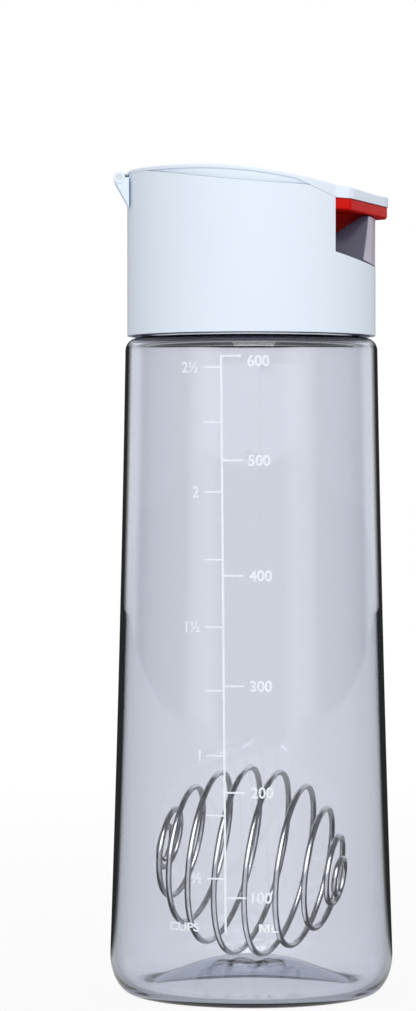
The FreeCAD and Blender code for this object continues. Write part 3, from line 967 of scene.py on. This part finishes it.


# Studio: a plain white floor that keeps the soft shadow of the lid and the whisk (the clear
# bottle casts none), a white background, one large soft lamp from the front, a weaker one
# from above, and the camera. What the clear
# plastic and the wire mirror is a set of dark and bright cards round the bottle.
floor_half_size = 4.0
floor_dark = (0.70, 0.70, 0.71)
floor_light = (0.73, 0.73, 0.74)
floor_glow = 0.90
floor_glow_start = 0.08
floor_glow_end = 0.70
mirrored_floor = 0.60
mirrored_floor_start = 0.05
mirrored_floor_end = 0.12
mirrored_side_edge = (0.70, 0.82)
mirrored_dark = 0.03
strip_count = 4
strip_edge = (-0.9, -0.3)
overhead_edge = (0.12, 0.30)
glass_faces = 0.5
wire_faces = 2.5
wire_card = 2.4
wire_card_edge = (-0.85, -0.45)
wire_dark = 0.10
wire_back = 0.9
wire_back_edge = (0.55, 0.80)
wire_floor = 0.45
dome_faces = 4.5
dome_card = 0.75
world_light = 0.62
lamp_aim = Vector((0, 0, 0.12))
front_lamp_place = Vector((0.05, -1.4, 0.9))
front_lamp_size = 1.0
front_lamp_power = 10.8
top_lamp_place = Vector((0.0, 0.1, 1.2))
top_lamp_size = 0.8
top_lamp_power = 1
camera_place = Vector((-0.0117, -1.010, 0.138))
camera_pitch = math.radians(-0.374)
camera_lens = 133.2


def math_node(tree, operation, first, second=0):
    """Works out one number from one or two, each a socket or a plain number."""
    node = tree.nodes.new("ShaderNodeMath")
    node.operation = operation
    for socket, value in zip(node.inputs, (first, second)):
        if isinstance(value, (int, float)):
            socket.default_value = value
        else:
            tree.links.new(value, socket)
    return node.outputs["Value"]


def seen_plainly(tree, path):
    """1 for what is seen straight or through clear plastic."""
    return math_node(tree, "MAXIMUM", path.outputs["Is Camera Ray"], path.outputs["Is Transmission Ray"])


def mirror_image(tree, path):
    """1 for what is seen in a mirror image, anywhere on the ray's way."""
    return math_node(tree, "GREATER_THAN", path.outputs["Glossy Depth"], 0.5)


def mirrored_in_glass(tree, path, faces):
    """1 for a mirror image that is seen through more than so many faces of clear plastic."""
    inside = math_node(tree, "GREATER_THAN", path.outputs["Transmission Depth"], faces)
    return math_node(tree, "MULTIPLY", mirror_image(tree, path), inside)


def wire_mirrors(tree, way):
    """What is mirrored inside the bottle: a bright card in front, white behind, dark at the sides."""
    axes = tree.nodes.new("ShaderNodeSeparateXYZ")
    tree.links.new(way, axes.inputs["Vector"])
    front = spread(tree, axes.outputs["Y"], wire_card, wire_dark, *wire_card_edge)
    behind = spread(tree, axes.outputs["Y"], wire_dark, wire_back, *wire_back_edge)
    return math_node(tree, "MAXIMUM", front, behind)


def either(tree, factor, first, second):
    """The first number where a factor is 0, and the second where it is 1."""
    mix = tree.nodes.new("ShaderNodeMix")
    tree.links.new(factor, mix.inputs["Factor"])
    tree.links.new(first, mix.inputs["A"])
    tree.links.new(second, mix.inputs["B"])
    return mix.outputs["Result"]


def floor_white():
    """Matt white floor with a faint cloud. It keeps the shadow and is pure white farther off."""
    finish, tree, shader = new_finish("studio_floor")
    cloud = mottle(tree, 1.5, detail=2)
    tree.links.new(tones(tree, cloud, floor_dark, floor_light), shader.inputs["Base Color"])
    shader.inputs["Roughness"].default_value = 0.9
    shader.inputs["Specular IOR Level"].default_value = 0.0
    path = tree.nodes.new("ShaderNodeLightPath")
    place = tree.nodes.new("ShaderNodeTexCoord")
    away = tree.nodes.new("ShaderNodeVectorMath")
    away.operation = "LENGTH"
    tree.links.new(place.outputs["Object"], away.inputs[0])
    white = spread(tree, away.outputs["Value"], floor_glow, 1, floor_glow_start, floor_glow_end)
    glow = tree.nodes.new("ShaderNodeEmission")
    mix = tree.nodes.new("ShaderNodeMixShader")
    tree.links.new(math_node(tree, "MULTIPLY", seen_plainly(tree, path), white), mix.inputs["Fac"])
    tree.links.new(shader.outputs["BSDF"], mix.inputs[1])
    tree.links.new(glow.outputs["Emission"], mix.inputs[2])
    # Painted reflection: in mirror images the floor glows as a card, bright near the bottle and dark
    # farther off and at the sides; seen through the bottle's faces it shows the wire's cards.
    near = spread(tree, away.outputs["Value"], mirrored_floor, mirrored_dark,
                  mirrored_floor_start, mirrored_floor_end)
    way = tree.nodes.new("ShaderNodeVectorMath")
    way.operation = "NORMALIZE"
    tree.links.new(place.outputs["Object"], way.inputs[0])
    axes = tree.nodes.new("ShaderNodeSeparateXYZ")
    tree.links.new(way.outputs["Vector"], axes.inputs["Vector"])
    sides = spread(tree, axes.outputs["Y"], mirrored_floor, mirrored_dark, *mirrored_side_edge)
    wire = math_node(tree, "MULTIPLY", wire_mirrors(tree, way.outputs["Vector"]), wire_floor)
    strength = either(tree, mirrored_in_glass(tree, path, wire_faces),
                      math_node(tree, "MAXIMUM", near, sides), wire)
    card = tree.nodes.new("ShaderNodeEmission")
    tree.links.new(strength, card.inputs["Strength"])
    both = tree.nodes.new("ShaderNodeMixShader")
    tree.links.new(mirror_image(tree, path), both.inputs["Fac"])
    tree.links.new(mix.outputs["Shader"], both.inputs[1])
    tree.links.new(card.outputs["Emission"], both.inputs[2])
    tree.links.new(both.outputs["Shader"], tree.nodes["Material Output"].inputs["Surface"])
    return finish


def light_world():
    """White behind the object. Mirror images show dark cards round it, with bright strips between."""
    world = bpy.data.worlds.new("studio")
    bpy.context.scene.world = world
    world.use_nodes = True
    tree = world.node_tree
    background = tree.nodes["Background"]
    path = tree.nodes.new("ShaderNodeLightPath")
    place = tree.nodes.new("ShaderNodeTexCoord")
    axes = tree.nodes.new("ShaderNodeSeparateXYZ")
    tree.links.new(place.outputs["Generated"], axes.inputs["Vector"])
    turn = math_node(tree, "ARCTAN2", axes.outputs["Y"], axes.outputs["X"])
    wave = math_node(tree, "COSINE", math_node(tree, "MULTIPLY", turn, strip_count))
    strips = spread(tree, wave, 1, 0, *strip_edge)
    overhead = spread(tree, axes.outputs["Z"], 0, 1, *overhead_edge)
    cards = spread(tree, math_node(tree, "MAXIMUM", strips, overhead), mirrored_dark, 1, 0, 1)
    seen = seen_plainly(tree, path)
    glossy = math_node(tree, "SUBTRACT", path.outputs["Is Glossy Ray"], seen)
    reflected = math_node(tree, "GREATER_THAN", glossy, 0.5)
    mirrored = math_node(tree, "MAXIMUM", reflected, mirrored_in_glass(tree, path, glass_faces))
    strength = either(tree, mirrored, spread(tree, seen, world_light, 1, 0, 1), cards)
    dome = math_node(tree, "MULTIPLY", mirrored_in_glass(tree, path, dome_faces), dome_card)
    wire = math_node(tree, "MAXIMUM", wire_mirrors(tree, place.outputs["Generated"]), dome)
    strength = either(tree, mirrored_in_glass(tree, path, wire_faces), strength, wire)
    background.inputs["Color"].default_value = (1, 1, 1, 1)
    tree.links.new(strength, background.inputs["Strength"])


def add_lamp(name, place, size, power):
    """A square soft lamp that looks at the bottle's middle."""
    light = bpy.data.lights.new(name, "AREA")
    light.size = size
    light.energy = power
    lamp = bpy.data.objects.new(name, light)
    bpy.context.collection.objects.link(lamp)
    lamp.location = place
    lamp.rotation_euler = (lamp_aim - place).to_track_quat("-Z", "Y").to_euler()


studio_floor = bmesh.new()
bmesh.ops.create_grid(studio_floor, x_segments=8, y_segments=8, size=floor_half_size)
floor_mesh = bpy.data.meshes.new("floor")
studio_floor.to_mesh(floor_mesh)
studio_floor.free()
floor_mesh.materials.append(floor_white())
floor = bpy.data.objects.new("floor", floor_mesh)
bpy.context.collection.objects.link(floor)

light_world()
add_lamp("front_lamp", front_lamp_place, front_lamp_size, front_lamp_power)
add_lamp("top_lamp", top_lamp_place, top_lamp_size, top_lamp_power)

camera_data = bpy.data.cameras.new("camera")
camera_data.lens = camera_lens
camera = bpy.data.objects.new("camera", camera_data)
bpy.context.collection.objects.link(camera)
camera.location = camera_place
camera.rotation_euler = (math.pi / 2 + camera_pitch, 0, 0)
bpy.context.scene.camera = camera
bpy.context.scene.view_settings.view_transform = "Standard"
